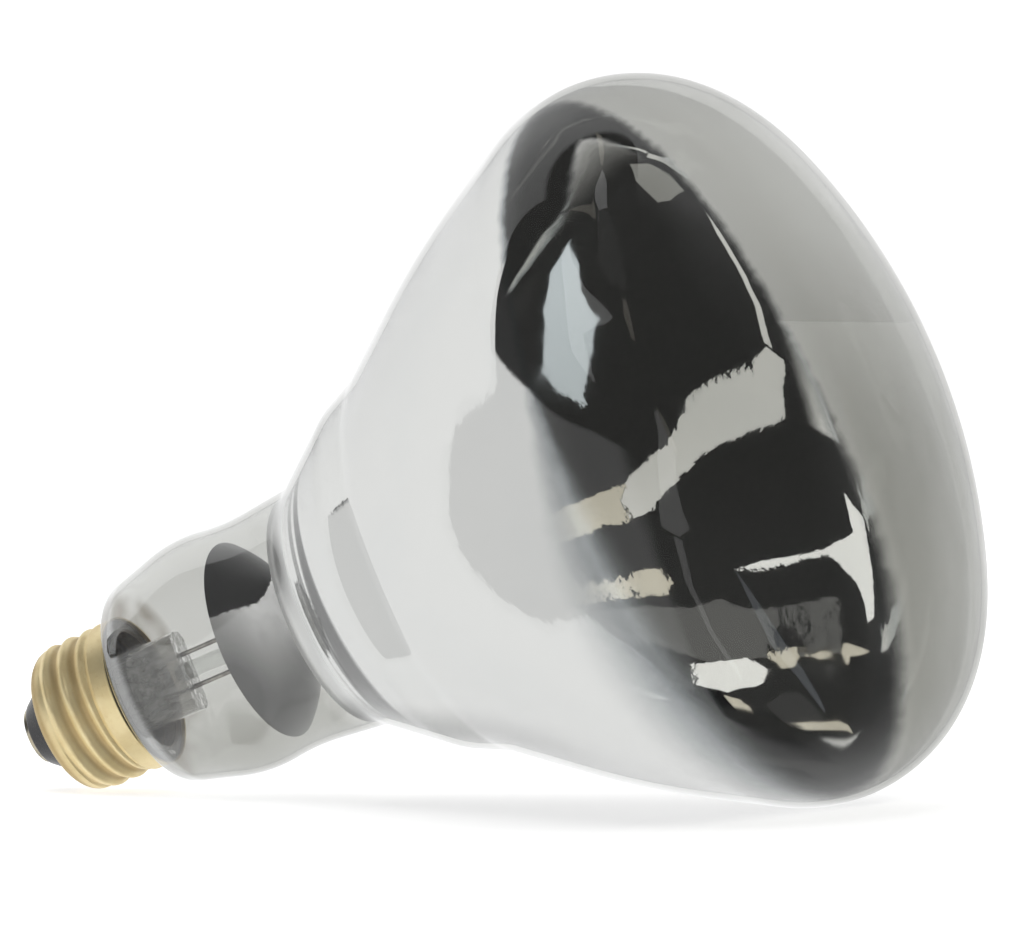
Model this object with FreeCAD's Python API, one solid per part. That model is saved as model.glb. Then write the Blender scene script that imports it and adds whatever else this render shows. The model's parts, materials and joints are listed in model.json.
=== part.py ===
import FreeCAD, Part
import math
import os

from FreeCAD import Placement, Rotation, Vector

# Infrared heat lamp: a clear-faced reflector bulb on a medium screw base.
#
# The lamp is drawn along its own axis, with z = 0 at the tip of the solder on the centre contact and the
# face at the top. It is then laid down on the screw shell and the bowl's rim, as it rests on a table:
# the face looks along +X and upward, z = 0 is the table, and the origin is under the middle of the lamp.
# Millimetres and degrees.

# Bulb: overall size and wall
OVERALL_LENGTH = 169.0
BULB_DIAMETER = 127.0
GLASS_WALL = 1.0
FACE_DEPTH = 33.4
RIM_ROUNDING = 24.0

# Bulb: throat in the screw shell, and shoulder above it
SEAL_HEIGHT = 14.5
CEMENT_THICKNESS = 1.95
THROAT_GAP = 0.6
THROAT_ROUNDING = 1.2
SHOULDER_RISE = 1.3
SHOULDER_STEP = 2.7
SHOULDER_ROUNDING = 3.5

# Bulb: neck. Belly and waist lie at shares of the way from the shoulder to the neck's end, the other radii
# differ from the waist's by a step, and the softness is the share of a corner's shorter side that is rounded.
NECK_END_HEIGHT = 62.0
NECK_END_STEP = 1.5
NECK_END_ROUNDING = 5.0
WAIST_RADIUS = 20.1
WAIST_ALONG_SHARE = 0.62
BELLY_STEP = 1.2
BELLY_ALONG_SHARE = 0.37
NECK_SOFTNESS = 0.48

# Bulb: back of the bowl. Each corner is given by two shares of the way from the neck's end to the widest
# ring: along the axis, and outward.
RING_ALONG_SHARE = 0.177
RING_OUT_SHARE = 0.229
RING_ROUNDING = 14.0
CREASE_ALONG_SHARE = 0.279
CREASE_OUT_SHARE = 0.308
CREASE_ROUNDING = 8.0
BOWL_ALONG_SHARE = 0.571
BOWL_OUT_SHARE = 0.678
BOWL_ROUNDING = 150.0

# Reflector film on the inside of the bowl, begun a little below the neck's end
FILM_THICKNESS = 0.1
FILM_START_DROP = 3.5
FILM_EDGE_DROP = 3.1

# Screw shell: rolled from sheet, thread of round crests and roots
SHELL_SHEET = 0.3
SHELL_BOTTOM_HEIGHT = 6.2
SHELL_RIM_HEIGHT = 22.0
COLLAR_RADIUS = 13.15
COLLAR_LENGTH = 3.0
COLLAR_STEP = 0.7
COLLAR_LEAD = 0.05
THREAD_DEPTH = 0.85
THREAD_PITCH = 3.629
THREAD_START_ANGLE = 150.0
THREAD_RUN_OUT = 1.2
SHELL_BOTTOM_ROUNDING = 3.0
FLANGE_LAP = 0.9
SECTIONS_PER_TURN = 12

# Base insulator, eyelet and solder
INSULATOR_END_RADIUS = 5.5
INSULATOR_END_HEIGHT = 1.75
INSULATOR_EDGE_ROUNDING = 0.8
INSULATOR_PLUG_DEPTH = 2.4
CONTACT_RADIUS = 4.9
CONTACT_THICKNESS = 0.7
CONTACT_SHANK_RADIUS = 1.5
CONTACT_BORE_RADIUS = 0.9
SOLDER_RADIUS = 2.8
SIDE_SOLDER_RADIUS = 1.3
CEMENT_RECESS = 0.6
CEMENT_LENGTH = 2.2

# Glass stem
FLARE_LIP = 1.0
STEM_TUBE_RADIUS = 7.0
STEM_WALL = 1.0
PRESS_START_HEIGHT = 23.0
PRESS_MID_HEIGHT = 26.5
PRESS_TOP_HEIGHT = 31.0
PRESS_WIDTH = 14.0
PRESS_THICKNESS = 5.6
PRESS_CORNER = 2.2
EXHAUST_RADIUS = 2.0
EXHAUST_WALL = 0.5
EXHAUST_TIP_HEIGHT = 11.5

# Wires
LEAD_SPACING = 5.8
INNER_LEAD_RADIUS = 0.4
SEAL_WIRE_RADIUS = 0.35
OUTER_LEAD_RADIUS = 0.25
SEAL_WIRE_INSET = 1.0
LEAD_BEND_DROP = 16.0
LEAD_BEND_RADIUS = 8.0
OUTER_BEND_RADIUS = 1.2
SIDE_LEAD_DROP = 1.6
SIDE_LEAD_GAP = 0.3

# Support rod, its button and the filament hooks
ROD_RADIUS = 1.5
ROD_SEAT_DEPTH = 2.0
BUTTON_HEIGHT = 78.0
BUTTON_RADIUS = 4.2
HOOK_COUNT = 5
HOOK_RADIUS = 0.25
HOOK_SEAT_DEPTH = 1.5
HOOK_BEND_RADIUS = 1.6
HOOK_LOOP_CLEARANCE = 0.02

# Heat shield, domed towards the bowl
SHIELD_HEIGHT = 45.2
SHIELD_CLEARANCE = 1.6
SHIELD_SHEET = 0.3
SHIELD_DOME_RISE = 8.0
SHIELD_COLLAR_HEIGHT = 3.0
LEAD_HOLE_CLEARANCE = 0.6

# Filament
FILAMENT_RISE = 10.0
FILAMENT_RING_RADIUS = 11.0
FILAMENT_COIL_RADIUS = 0.6
FILAMENT_GAP_ANGLE = 44.0
CLAMP_RADIUS = 1.0
CLAMP_LENGTH = 2.0

# How the lamp lies: turned about its own axis, so that the seams of its turned faces aren't underneath
LYING_TURN = 1.7

# Sizes that follow from those above
BULB_RADIUS = BULB_DIAMETER / 2
WIDEST_HEIGHT = OVERALL_LENGTH - FACE_DEPTH
THROAT_RADIUS = COLLAR_RADIUS - SHELL_SHEET - CEMENT_THICKNESS
THROAT_END_HEIGHT = SHELL_RIM_HEIGHT + THROAT_GAP
SHOULDER_HEIGHT = THROAT_END_HEIGHT + SHOULDER_RISE
NECK_END_RADIUS = WAIST_RADIUS + NECK_END_STEP
FILM_START_HEIGHT = NECK_END_HEIGHT - FILM_START_DROP
FILM_END_HEIGHT = WIDEST_HEIGHT - FILM_EDGE_DROP
THREAD_MEAN_RADIUS = COLLAR_RADIUS - COLLAR_LEAD - THREAD_DEPTH / 2
THREAD_START_HEIGHT = SHELL_BOTTOM_HEIGHT + SHELL_BOTTOM_ROUNDING
THREAD_END_HEIGHT = SHELL_RIM_HEIGHT - COLLAR_LENGTH - COLLAR_STEP
LEAD_OFFSET = LEAD_SPACING / 2
FLARE_ROUNDING = THROAT_RADIUS - GLASS_WALL - STEM_TUBE_RADIUS
INSULATOR_SEAT_HEIGHT = SHELL_BOTTOM_HEIGHT + SHELL_SHEET
INSULATOR_TOP_HEIGHT = INSULATOR_SEAT_HEIGHT + INSULATOR_PLUG_DEPTH
INSULATOR_PLUG_RADIUS = THREAD_MEAN_RADIUS - SHELL_BOTTOM_ROUNDING
FLANGE_OPENING_RADIUS = INSULATOR_PLUG_RADIUS - FLANGE_LAP
CONTACT_FACE_HEIGHT = INSULATOR_END_HEIGHT - CONTACT_THICKNESS
SHIELD_RADIUS = WAIST_RADIUS - GLASS_WALL - SHIELD_CLEARANCE
FILAMENT_HEIGHT = BUTTON_HEIGHT + FILAMENT_RISE
LEAD_BEND_HEIGHT = BUTTON_HEIGHT - LEAD_BEND_DROP

AXIS = Vector(0, 0, 1)
ORIGIN = Vector(0, 0, 0)


def profile_point(height, radius):
    """A point of a turned piece's half section."""
    return Vector(radius, 0, height)


def straight(start, end):
    """One straight edge."""
    return Part.LineSegment(start, end).toShape()


def rounded_path(points, radii):
    """Edges along the points, each inner point rounded by the tangent arc of its radius."""
    edges = []
    start = points[0]
    for before, here, after, radius in zip(points, points[1:], points[2:], radii):
        back = (before - here).normalize()
        ahead = (after - here).normalize()
        half_angle = back.getAngle(ahead) / 2
        reach = radius / math.tan(half_angle)
        first = here + back * reach
        last = here + ahead * reach
        inward = (back + ahead).normalize()
        middle = here + inward * (radius / math.sin(half_angle) - radius)
        edges.append(straight(start, first))
        edges.append(Part.Arc(first, middle, last).toShape())
        start = last
    edges.append(straight(start, points[-1]))
    return edges


def turned(edges):
    """The solid that a closed half section sweeps out around the lamp's axis."""
    section = Part.Face(Part.Wire(Part.sortEdges(edges)[0]))
    return section.revolve(ORIGIN, AXIS, 360)


def polygon_edges(points):
    """The straight edges of a closed outline."""
    return [straight(a, b) for a, b in zip(points, points[1:] + points[:1])]


def cylinder(radius, bottom, top, x=0.0):
    """An upright cylinder between two heights."""
    return Part.makeCylinder(radius, top - bottom, Vector(x, 0, bottom), AXIS)


def wire_along(points, radii, radius):
    """A round wire along straight runs joined by tangent arcs."""
    spine = Part.Wire(rounded_path(points, radii))
    way = (points[1] - points[0]).normalize()
    section = Part.Wire(Part.makeCircle(radius, points[0], way))
    return spine.makePipeShell([section], True, False)


def rim_centre():
    """Centre of the arc that rounds the bowl's rim, in the half section."""
    return profile_point(WIDEST_HEIGHT, BULB_RADIUS - RIM_ROUNDING)


def touch_from(point):
    """Where a straight line from a point of the half section touches the rim's arc on its outside."""
    to_centre = rim_centre() - point
    distance = to_centre.Length
    run = math.sqrt(distance**2 - RIM_ROUNDING**2)
    angle = math.atan2(to_centre.x, to_centre.z) + math.asin(RIM_ROUNDING / distance)
    return point + Vector(math.sin(angle), 0, math.cos(angle)) * run


def neck_corner(along, step):
    """A corner of the neck, by its share of the neck's length and its step from the waist's radius."""
    height = SHOULDER_HEIGHT + along * (NECK_END_HEIGHT - SHOULDER_HEIGHT)
    return profile_point(height, WAIST_RADIUS + step)


def back_corner(along, out):
    """A corner of the bowl's back, by its shares of the way from the neck's end to the widest ring."""
    height = NECK_END_HEIGHT + along * (WIDEST_HEIGHT - NECK_END_HEIGHT)
    radius = NECK_END_RADIUS + out * (BULB_RADIUS - NECK_END_RADIUS)
    return profile_point(height, radius)


def soft_radius(before, here, after):
    """The rounding of a neck corner that takes up the softness share of its shorter side."""
    back, ahead = before - here, after - here
    reach = NECK_SOFTNESS * min(back.Length, ahead.Length)
    return reach * math.tan(back.getAngle(ahead) / 2)


def bulb_outline():
    """The bulb's outer half section, from the seal in the base to the middle of the face."""
    seal = profile_point(SEAL_HEIGHT, THROAT_RADIUS)
    throat = profile_point(THROAT_END_HEIGHT, THROAT_RADIUS)
    shoulder = neck_corner(0, -SHOULDER_STEP)
    belly = neck_corner(BELLY_ALONG_SHARE, BELLY_STEP)
    waist = neck_corner(WAIST_ALONG_SHARE, 0)
    neck_end = neck_corner(1, NECK_END_STEP)
    ring = back_corner(RING_ALONG_SHARE, RING_OUT_SHARE)
    crease = back_corner(CREASE_ALONG_SHARE, CREASE_OUT_SHARE)
    bowl = back_corner(BOWL_ALONG_SHARE, BOWL_OUT_SHARE)
    rim_start = touch_from(bowl)
    points = [seal, throat, shoulder, belly, waist, neck_end, ring, crease, bowl, rim_start]
    radii = [
        THROAT_ROUNDING,
        SHOULDER_ROUNDING,
        soft_radius(shoulder, belly, waist),
        soft_radius(belly, waist, neck_end),
        NECK_END_ROUNDING,
        RING_ROUNDING,
        CREASE_ROUNDING,
        BOWL_ROUNDING,
    ]
    edges = rounded_path(points, radii)

    # the face is the arc that is square to the axis and runs smoothly into the rim
    inset = BULB_RADIUS - RIM_ROUNDING
    face_radius = (FACE_DEPTH**2 + inset**2 - RIM_ROUNDING**2) / (2 * (FACE_DEPTH - RIM_ROUNDING))
    face_centre = profile_point(OVERALL_LENGTH - face_radius, 0)
    outward = (rim_centre() - face_centre).normalize()
    rim_end = face_centre + outward * face_radius
    face_way = (outward + AXIS).normalize()
    widest = profile_point(WIDEST_HEIGHT, BULB_RADIUS)
    apex = profile_point(OVERALL_LENGTH, 0)
    edges.append(Part.Arc(rim_start, widest, rim_end).toShape())
    edges.append(Part.Arc(rim_end, face_centre + face_way * face_radius, apex).toShape())
    return Part.Wire(edges)


def bulb_form(inset):
    """The space inside the bulb's outline, drawn in by a distance from its outer face."""
    outline = bulb_outline()
    if inset:
        outline = outline.makeOffset2D(inset, openResult=True)
    ends = sorted((vertex.Point for vertex in outline.Vertexes), key=lambda p: p.z)
    seal, apex = ends[0], ends[-1]
    axis_foot = profile_point(seal.z, 0)
    closing = [straight(apex, axis_foot), straight(axis_foot, seal)]
    return turned(outline.Edges + closing)


def glass_envelope():
    """The blown bulb: an even wall, open only at the seal."""
    return bulb_form(0).cut(bulb_form(GLASS_WALL))


def reflector_coating():
    """The metal film on the inside of the bowl, between the neck and the widest ring."""
    film = bulb_form(GLASS_WALL).cut(bulb_form(GLASS_WALL + FILM_THICKNESS))
    return film.common(cylinder(BULB_DIAMETER, FILM_START_HEIGHT, FILM_END_HEIGHT))


def thread_form(radius):
    """The space inside a round thread.

    Each level section of such a thread is a circle that stands off the axis by half the thread's depth
    and goes round once in each pitch. The stand-off grows and dies away at the two run-outs.
    """
    length = THREAD_END_HEIGHT - THREAD_START_HEIGHT
    count = math.ceil(length / THREAD_PITCH * SECTIONS_PER_TURN)
    sections = []
    for step in range(count + 1):
        rise = length * step / count
        end_share = min(1.0, rise / THREAD_RUN_OUT, (length - rise) / THREAD_RUN_OUT)
        stand_off = THREAD_DEPTH / 2 * math.sin(end_share * math.pi / 2)
        angle = math.radians(THREAD_START_ANGLE) + 2 * math.pi * rise / THREAD_PITCH
        centre = Vector(stand_off * math.cos(angle), stand_off * math.sin(angle), THREAD_START_HEIGHT + rise)
        sections.append(Part.Wire(Part.makeCircle(radius, centre, AXIS)))
    return Part.makeLoft(sections, True)


def shell_form(inset):
    """The space inside the screw shell, drawn in by a distance from its outer face."""
    mean = THREAD_MEAN_RADIUS - inset
    rounding = SHELL_BOTTOM_ROUNDING - inset
    bottom = SHELL_BOTTOM_HEIGHT + inset
    corner_centre = profile_point(THREAD_START_HEIGHT, mean - rounding)
    corner_way = Vector(1, 0, -1).normalize()
    cup_edges = [
        straight(profile_point(bottom, 0), profile_point(bottom, mean - rounding)),
        Part.Arc(
            profile_point(bottom, mean - rounding),
            corner_centre + corner_way * rounding,
            profile_point(THREAD_START_HEIGHT, mean),
        ).toShape(),
        straight(profile_point(THREAD_START_HEIGHT, mean), profile_point(THREAD_START_HEIGHT, 0)),
        straight(profile_point(THREAD_START_HEIGHT, 0), profile_point(bottom, 0)),
    ]
    collar_points = [
        profile_point(THREAD_END_HEIGHT, 0),
        profile_point(THREAD_END_HEIGHT, mean),
        profile_point(THREAD_END_HEIGHT + COLLAR_STEP, COLLAR_RADIUS - inset),
        profile_point(SHELL_RIM_HEIGHT, COLLAR_RADIUS - inset),
        profile_point(SHELL_RIM_HEIGHT, 0),
    ]
    cup = turned(cup_edges)
    collar = turned(polygon_edges(collar_points))
    return cup.fuse([thread_form(mean), collar])


def screw_shell():
    """The rolled shell: turned in at the bottom, threaded, with a plain collar at the rim."""
    sheet = shell_form(0).cut(shell_form(SHELL_SHEET))
    opening = cylinder(FLANGE_OPENING_RADIUS, SHELL_BOTTOM_HEIGHT - SHELL_SHEET, THREAD_START_HEIGHT)
    return sheet.cut(opening)


def base_insulator():
    """The button of black glass that closes the shell and carries the eyelet."""
    points = [
        profile_point(INSULATOR_END_HEIGHT, CONTACT_SHANK_RADIUS),
        profile_point(INSULATOR_END_HEIGHT, INSULATOR_END_RADIUS),
        profile_point(SHELL_BOTTOM_HEIGHT, FLANGE_OPENING_RADIUS),
        profile_point(INSULATOR_SEAT_HEIGHT, FLANGE_OPENING_RADIUS),
        profile_point(INSULATOR_SEAT_HEIGHT, INSULATOR_PLUG_RADIUS),
        profile_point(INSULATOR_TOP_HEIGHT, INSULATOR_PLUG_RADIUS),
        profile_point(INSULATOR_TOP_HEIGHT, CONTACT_SHANK_RADIUS),
    ]
    button = turned(polygon_edges(points))
    end_edge = [
        edge
        for edge in button.Edges
        if abs(edge.BoundBox.ZMax - INSULATOR_END_HEIGHT) < INSULATOR_EDGE_ROUNDING
        and edge.BoundBox.XMax > CONTACT_SHANK_RADIUS + INSULATOR_EDGE_ROUNDING
    ]
    return button.makeFillet(INSULATOR_EDGE_ROUNDING, end_edge)


def centre_contact():
    """The eyelet: a disc on the insulator's end with a hollow shank through it."""
    disc = cylinder(CONTACT_RADIUS, CONTACT_FACE_HEIGHT, INSULATOR_END_HEIGHT)
    shank = cylinder(CONTACT_SHANK_RADIUS, CONTACT_FACE_HEIGHT, INSULATOR_TOP_HEIGHT)
    bore = cylinder(CONTACT_BORE_RADIUS, CONTACT_FACE_HEIGHT, INSULATOR_TOP_HEIGHT)
    return disc.fuse(shank).cut(bore).removeSplitter()


def centre_solder():
    """The drop of solder that fills the eyelet's mouth round its wire."""
    sphere_radius = (SOLDER_RADIUS**2 + CONTACT_FACE_HEIGHT**2) / (2 * CONTACT_FACE_HEIGHT)
    cap = Part.makeSphere(sphere_radius, Vector(0, 0, sphere_radius))
    cap = cap.common(cylinder(SOLDER_RADIUS, 0, CONTACT_FACE_HEIGHT))
    plug = cylinder(CONTACT_BORE_RADIUS, CONTACT_FACE_HEIGHT, INSULATOR_END_HEIGHT)
    return cap.fuse(plug).removeSplitter().cut(outer_lead_centre())


def basing_cement():
    """The ring of cement between the bulb's throat and the shell's collar."""
    top = SHELL_RIM_HEIGHT - CEMENT_RECESS
    ring = cylinder(COLLAR_RADIUS - SHELL_SHEET, top - CEMENT_LENGTH, top)
    return ring.cut(cylinder(THROAT_RADIUS, top - CEMENT_LENGTH, top)).cut(outer_lead_side())


def side_solder():
    """The bead of solder that joins the side wire to the shell's rim."""
    centre = Vector(COLLAR_RADIUS - SIDE_SOLDER_RADIUS, 0, SHELL_RIM_HEIGHT)
    bead = Part.makeSphere(SIDE_SOLDER_RADIUS, centre)
    return bead.cut([screw_shell(), basing_cement(), bulb_form(0), outer_lead_side()])


def flattened_section(height, width, thickness, corner):
    """A rounded rectangle across the lamp's axis."""
    x, y = width / 2, thickness / 2
    points = [Vector(0, -y, height), Vector(x, -y, height), Vector(x, y, height)]
    points += [Vector(-x, y, height), Vector(-x, -y, height), Vector(0, -y, height)]
    return Part.Wire(rounded_path(points, [corner] * 4))


def glass_stem():
    """The flare that closes the bulb, its tube, and the flat press that seals the wires."""
    lip_bottom = SEAL_HEIGHT - FLARE_LIP
    outer_points = [
        profile_point(SEAL_HEIGHT, THROAT_RADIUS),
        profile_point(SEAL_HEIGHT, STEM_TUBE_RADIUS),
        profile_point(PRESS_START_HEIGHT, STEM_TUBE_RADIUS),
    ]
    inner_points = [
        profile_point(PRESS_START_HEIGHT, STEM_TUBE_RADIUS - STEM_WALL),
        profile_point(lip_bottom, STEM_TUBE_RADIUS - STEM_WALL),
        profile_point(lip_bottom, THROAT_RADIUS),
    ]
    outer = rounded_path(outer_points, [FLARE_ROUNDING])
    inner = rounded_path(inner_points, [FLARE_ROUNDING + STEM_WALL])
    closing = [straight(outer_points[-1], inner_points[0]), straight(inner_points[-1], outer_points[0])]
    tube = turned(outer + inner + closing)

    press = Part.makeLoft(
        [
            Part.Wire(Part.makeCircle(STEM_TUBE_RADIUS, Vector(0, 0, PRESS_START_HEIGHT), AXIS)),
            flattened_section(PRESS_MID_HEIGHT, PRESS_WIDTH, PRESS_THICKNESS, PRESS_CORNER),
        ],
        True,
    )
    slab_face = Part.Face(flattened_section(PRESS_MID_HEIGHT, PRESS_WIDTH, PRESS_THICKNESS, PRESS_CORNER))
    slab = slab_face.extrude(AXIS * (PRESS_TOP_HEIGHT - PRESS_MID_HEIGHT))
    rod_seat = cylinder(ROD_RADIUS, PRESS_TOP_HEIGHT - ROD_SEAT_DEPTH, PRESS_TOP_HEIGHT)
    return tube.fuse([press, slab]).cut([rod_seat, seal_wires(), *inner_leads(), *outer_leads()])


def exhaust_tube():
    """The tube in the stem, drawn to a closed tip inside the base."""
    outer = cylinder(EXHAUST_RADIUS, EXHAUST_TIP_HEIGHT + EXHAUST_RADIUS, PRESS_START_HEIGHT)
    outer = outer.fuse(Part.makeSphere(EXHAUST_RADIUS, Vector(0, 0, EXHAUST_TIP_HEIGHT + EXHAUST_RADIUS)))
    bore_radius = EXHAUST_RADIUS - EXHAUST_WALL
    bore = cylinder(bore_radius, EXHAUST_TIP_HEIGHT + EXHAUST_RADIUS, PRESS_START_HEIGHT)
    bore = bore.fuse(Part.makeSphere(bore_radius, Vector(0, 0, EXHAUST_TIP_HEIGHT + EXHAUST_RADIUS)))
    return outer.cut(bore).removeSplitter()


def seal_wires():
    """The two short wires that pass the current through the press."""
    bottom = PRESS_START_HEIGHT + SEAL_WIRE_INSET
    top = PRESS_TOP_HEIGHT - SEAL_WIRE_INSET
    wires = [cylinder(SEAL_WIRE_RADIUS, bottom, top, x) for x in (LEAD_OFFSET, -LEAD_OFFSET)]
    return Part.makeCompound(wires)


def filament_end(side):
    """One end of the filament ring, as a point and the way the coil leaves it."""
    angle = math.radians(90 - side * FILAMENT_GAP_ANGLE / 2)
    outward = Vector(math.cos(angle), math.sin(angle), 0)
    point = outward * FILAMENT_RING_RADIUS + AXIS * FILAMENT_HEIGHT
    way = Vector(side * math.sin(angle), -side * math.cos(angle), 0)
    return point, way


def inner_lead(side):
    """A wire from the press to one end of the filament, with the clamp that grips the coil."""
    end, way = filament_end(side)
    start = Vector(side * LEAD_OFFSET, 0, PRESS_TOP_HEIGHT - SEAL_WIRE_INSET)
    bend = Vector(start.x, start.y, LEAD_BEND_HEIGHT)
    post_x = end.x - way.x * CLAMP_LENGTH / 2
    post_y = end.y - way.y * CLAMP_LENGTH / 2
    knee = Vector(post_x, post_y, BUTTON_HEIGHT)
    top = Vector(post_x, post_y, FILAMENT_HEIGHT)
    wire = wire_along([start, bend, knee, top], [LEAD_BEND_RADIUS] * 2, INNER_LEAD_RADIUS)
    clamp_start = end - way * CLAMP_LENGTH
    clamp = Part.makeCylinder(CLAMP_RADIUS, 2 * CLAMP_LENGTH, clamp_start, way)
    return wire.fuse(clamp).removeSplitter().cut(filament())


def inner_leads():
    """The two inner wires, right then left."""
    return [inner_lead(1), inner_lead(-1)]


def outer_lead_side():
    """The wire from the press, round the lip of the flare and up to the shell's rim."""
    start = Vector(LEAD_OFFSET, 0, PRESS_START_HEIGHT + SEAL_WIRE_INSET)
    low = SEAL_HEIGHT - FLARE_LIP - SIDE_LEAD_DROP
    wall = THROAT_RADIUS + SIDE_LEAD_GAP + OUTER_LEAD_RADIUS
    points = [start, Vector(LEAD_OFFSET, 0, low), Vector(wall, 0, low), Vector(wall, 0, SHELL_RIM_HEIGHT)]
    return wire_along(points, [OUTER_BEND_RADIUS] * 2, OUTER_LEAD_RADIUS)


def outer_lead_centre():
    """The wire from the press, past the tipped exhaust tube and into the eyelet."""
    start = Vector(-LEAD_OFFSET, 0, PRESS_START_HEIGHT + SEAL_WIRE_INSET)
    bend = Vector(-LEAD_OFFSET, 0, EXHAUST_TIP_HEIGHT)
    inlet = Vector(0, 0, INSULATOR_TOP_HEIGHT + OUTER_BEND_RADIUS)
    end = Vector(0, 0, CONTACT_FACE_HEIGHT)
    return wire_along([start, bend, inlet, end], [OUTER_BEND_RADIUS] * 2, OUTER_LEAD_RADIUS)


def outer_leads():
    """The two outer wires, side then centre."""
    return [outer_lead_side(), outer_lead_centre()]


def support_rod():
    """The glass cane on the press, with the button that holds the hooks."""
    rod = cylinder(ROD_RADIUS, PRESS_TOP_HEIGHT - ROD_SEAT_DEPTH, BUTTON_HEIGHT)
    button = Part.makeSphere(BUTTON_RADIUS, Vector(0, 0, BUTTON_HEIGHT))
    return rod.fuse(button).removeSplitter().cut(filament_hooks())


def filament_hooks():
    """The wires from the button that carry the filament, each ending in a loop round the coil."""
    loop_radius = FILAMENT_COIL_RADIUS + HOOK_LOOP_CLEARANCE + HOOK_RADIUS
    inner = BUTTON_RADIUS - HOOK_SEAT_DEPTH
    points = [
        Vector(inner, 0, BUTTON_HEIGHT),
        Vector(FILAMENT_RING_RADIUS, 0, BUTTON_HEIGHT),
        Vector(FILAMENT_RING_RADIUS, 0, FILAMENT_HEIGHT - loop_radius),
    ]
    stalk = wire_along(points, [HOOK_BEND_RADIUS], HOOK_RADIUS)
    loop_centre = Vector(FILAMENT_RING_RADIUS, 0, FILAMENT_HEIGHT)
    loop = Part.makeTorus(loop_radius, HOOK_RADIUS, loop_centre, Vector(0, 1, 0))
    hook = stalk.fuse(loop).removeSplitter()
    spread = (360 - FILAMENT_GAP_ANGLE) / (HOOK_COUNT + 1)
    hooks = []
    for number in range(1, HOOK_COUNT + 1):
        turn = 90 + FILAMENT_GAP_ANGLE / 2 + number * spread
        hooks.append(hook.copy().rotate(ORIGIN, AXIS, turn))
    return Part.makeCompound(hooks)


def filament():
    """The coiled filament as the ring-shaped space that its turns fill."""
    start, _ = filament_end(-1)
    end, way = filament_end(1)
    far_side = Vector(0, -FILAMENT_RING_RADIUS, FILAMENT_HEIGHT)
    spine = Part.Wire(Part.Arc(end, far_side, start).toShape())
    section = Part.Wire(Part.makeCircle(FILAMENT_COIL_RADIUS, end, way))
    return spine.makePipeShell([section], True, False)


def heat_shield():
    """The polished dome across the neck, gripped to the rod by its collar and holed for the wires."""
    dome_radius = (SHIELD_RADIUS**2 + SHIELD_DOME_RISE**2) / (2 * SHIELD_DOME_RISE)
    top = SHIELD_HEIGHT + SHIELD_DOME_RISE
    collar_top = top + SHIELD_COLLAR_HEIGHT
    centre = Vector(0, 0, top - dome_radius)
    ball = Part.makeSphere(dome_radius, centre).cut(Part.makeSphere(dome_radius - SHIELD_SHEET, centre))
    dome = ball.common(cylinder(SHIELD_RADIUS, SHIELD_HEIGHT, top))
    collar = cylinder(ROD_RADIUS + SHIELD_SHEET, top - SHIELD_SHEET, collar_top)
    bore = cylinder(ROD_RADIUS, SHIELD_HEIGHT, collar_top)
    hole_radius = INNER_LEAD_RADIUS + LEAD_HOLE_CLEARANCE
    holes = [cylinder(hole_radius, SHIELD_HEIGHT, top, x) for x in (LEAD_OFFSET, -LEAD_OFFSET)]
    return dome.fuse(collar).cut([bore, *holes])


def resting_placement():
    """Turn the lamp down until it lies on the rounded end of its screw shell and on the rim of its bowl."""
    shell_centre = profile_point(THREAD_START_HEIGHT, THREAD_MEAN_RADIUS - SHELL_BOTTOM_ROUNDING)
    between = rim_centre() - shell_centre
    rise = math.atan2(between.x, between.z)
    rise += math.asin((RIM_ROUNDING - SHELL_BOTTOM_ROUNDING) / between.Length)
    tipped = Placement(ORIGIN, Rotation(Vector(0, 1, 0), 90 - math.degrees(rise)))
    return tipped.multiply(Placement(ORIGIN, Rotation(AXIS, LYING_TURN)))


def laid_down(pieces):
    """The pieces as they rest on the table, with the origin under the middle of the whole lamp."""
    resting = resting_placement()
    for shape in pieces.values():
        shape.Placement = resting.multiply(shape.Placement)
    box = Part.makeCompound(list(pieces.values())).optimalBoundingBox(False, False)
    for shape in pieces.values():
        shape.translate(Vector(-box.Center.x, -box.Center.y, -box.ZMin))
    return pieces


def lamp_pieces():
    """Every piece of the lamp by name, along the lamp's own axis."""
    right, left = inner_leads()
    return {
        "screw_shell": screw_shell(),
        "base_insulator": base_insulator(),
        "centre_contact": centre_contact(),
        "centre_solder": centre_solder(),
        "side_solder": side_solder(),
        "basing_cement": basing_cement(),
        "glass_envelope": glass_envelope(),
        "reflector_coating": reflector_coating(),
        "glass_stem": glass_stem(),
        "exhaust_tube": exhaust_tube(),
        "seal_wires": seal_wires(),
        "inner_lead_right": right,
        "inner_lead_left": left,
        "outer_lead_side": outer_lead_side(),
        "outer_lead_centre": outer_lead_centre(),
        "support_rod": support_rod(),
        "filament_hooks": filament_hooks(),
        "heat_shield": heat_shield(),
        "filament": filament(),
    }


def main():
    """Build the lamp, lay it down and write one file for each piece."""
    os.makedirs("parts", exist_ok=True)
    for name, shape in laid_down(lamp_pieces()).items():
        shape.exportStep(f"parts/{name}.step")


main()
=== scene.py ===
"""Looks of the infrared heat lamp: glass, mirror film, brass base and the wire mount inside the neck."""

import json
import logging
import math
from collections.abc import Mapping, Sequence
from dataclasses import dataclass, field
from enum import Enum
from typing import Any

import bpy
from mathutils import Matrix, Vector


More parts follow.
